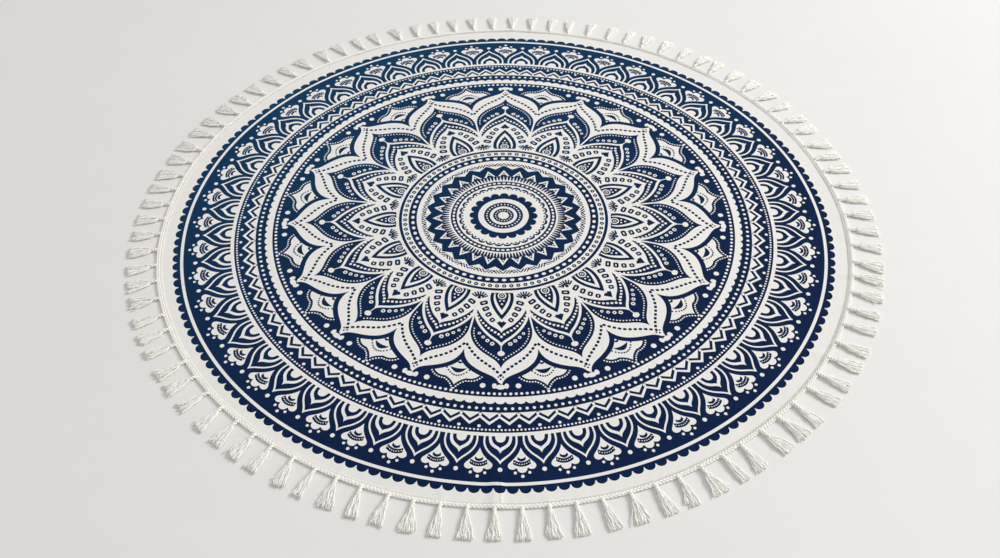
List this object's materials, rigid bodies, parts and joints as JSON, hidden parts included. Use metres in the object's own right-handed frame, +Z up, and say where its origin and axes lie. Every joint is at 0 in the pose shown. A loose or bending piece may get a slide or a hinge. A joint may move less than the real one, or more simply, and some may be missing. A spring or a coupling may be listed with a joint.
{
  "type": "round tablecloth",
  "caption": "Round cotton tablecloth with a printed mandala and a braid edge of tassels, lying flat and face up.",
  "frame": {"origin": "middle of the round outline, on the surface that the cloth lies on", "axes": "+Z up out of the printed face, -Y towards the near side of the picture"},
  "size_m": [1.6528, 1.6527, 0.0065],
  "materials": {
    "printed_cotton": "matt plain-woven cotton with a navy print on natural white",
    "cotton_trim": "matt natural cotton braid and yarn"
  },
  "bodies": {
    "root": {"cloth": "printed_cotton", "tassel_trim": "cotton_trim"}
  },
  "joints": []
}
